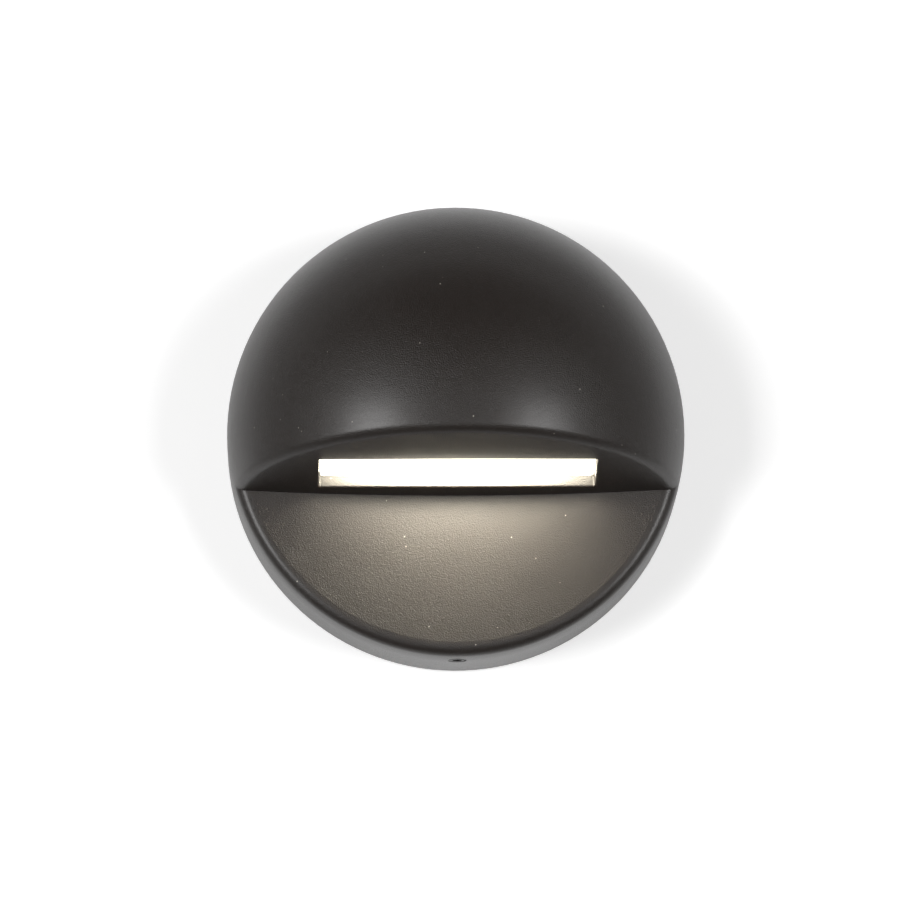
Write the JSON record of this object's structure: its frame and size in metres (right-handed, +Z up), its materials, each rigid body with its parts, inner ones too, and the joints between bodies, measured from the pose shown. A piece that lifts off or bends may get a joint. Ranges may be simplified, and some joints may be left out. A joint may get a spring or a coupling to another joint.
{
  "type": "deck light",
  "caption": "Round surface-mounted deck light: a cast eyelid dome over a dished apron throws light down from a sloped window, and pulls off a screwed wall plate.",
  "frame": {"origin": "centre of the wall face, on the axis of the round body", "axes": "+Z up as mounted, +Y into the wall, so the light faces -Y, +X to the right seen from the front"},
  "size_m": [0.0762, 0.0444, 0.0762],
  "materials": {
    "bronze_powder_coat": "satin dark-bronze powder coat on die-cast aluminium, fine grain",
    "frosted_lens": "frosted, lit warm white from behind",
    "black_rubber": "matt moulded rubber",
    "black_foam": "closed-cell foam sheet",
    "white_plastic": "moulded white",
    "white_led_board": "white solder mask on an aluminium core",
    "led_phosphor": "yellow phosphor in a white case",
    "grey_thermal_pad": "soft grey pad",
    "bare_aluminium": "extruded, plain",
    "stainless_steel": "plain stainless",
    "black_oxide_steel": "black oxide",
    "green_circuit_board": "green solder mask on glass laminate",
    "wound_ferrite": "matt ferrite",
    "capacitor_can": "dark sleeve on a can",
    "black_epoxy": "moulded epoxy",
    "silicone_lead": "white silicone sleeve"
  },
  "bodies": {
    "wall_plate": {"wall_gasket": "black_foam", "wall_plate": "stainless_steel"},
    "light": {"hood": "bronze_powder_coat", "lens_gasket": "black_rubber", "lens": "frosted_lens", "reflector": "white_plastic", "led_board": "white_led_board", "led_chips": "led_phosphor", "thermal_pad": "grey_thermal_pad", "heat_sink": "bare_aluminium", "heat_sink_screws": "stainless_steel", "back_gasket": "black_rubber", "back_cover": "bronze_powder_coat", "cover_screws": "stainless_steel", "cable_grommet": "black_rubber", "driver_board": "green_circuit_board", "driver_screws": "stainless_steel", "driver_inductor": "wound_ferrite", "driver_capacitor": "capacitor_can", "driver_rectifier": "black_epoxy", "driver_chip": "black_epoxy", "led_leads": "silicone_lead"},
    "lock_screw": {"lock_screw": "black_oxide_steel"}
  },
  "joints": [
    {"name": "light_pull", "type": "slide", "parent": "wall_plate", "child": "light", "axis": [0, -1, 0], "range_m": [0, 0.045]},
    {"name": "lock_screw_back_out", "type": "slide", "parent": "light", "child": "lock_screw", "axis": [0, 0, -1], "range_m": [0, 0.0015]}
  ]
}
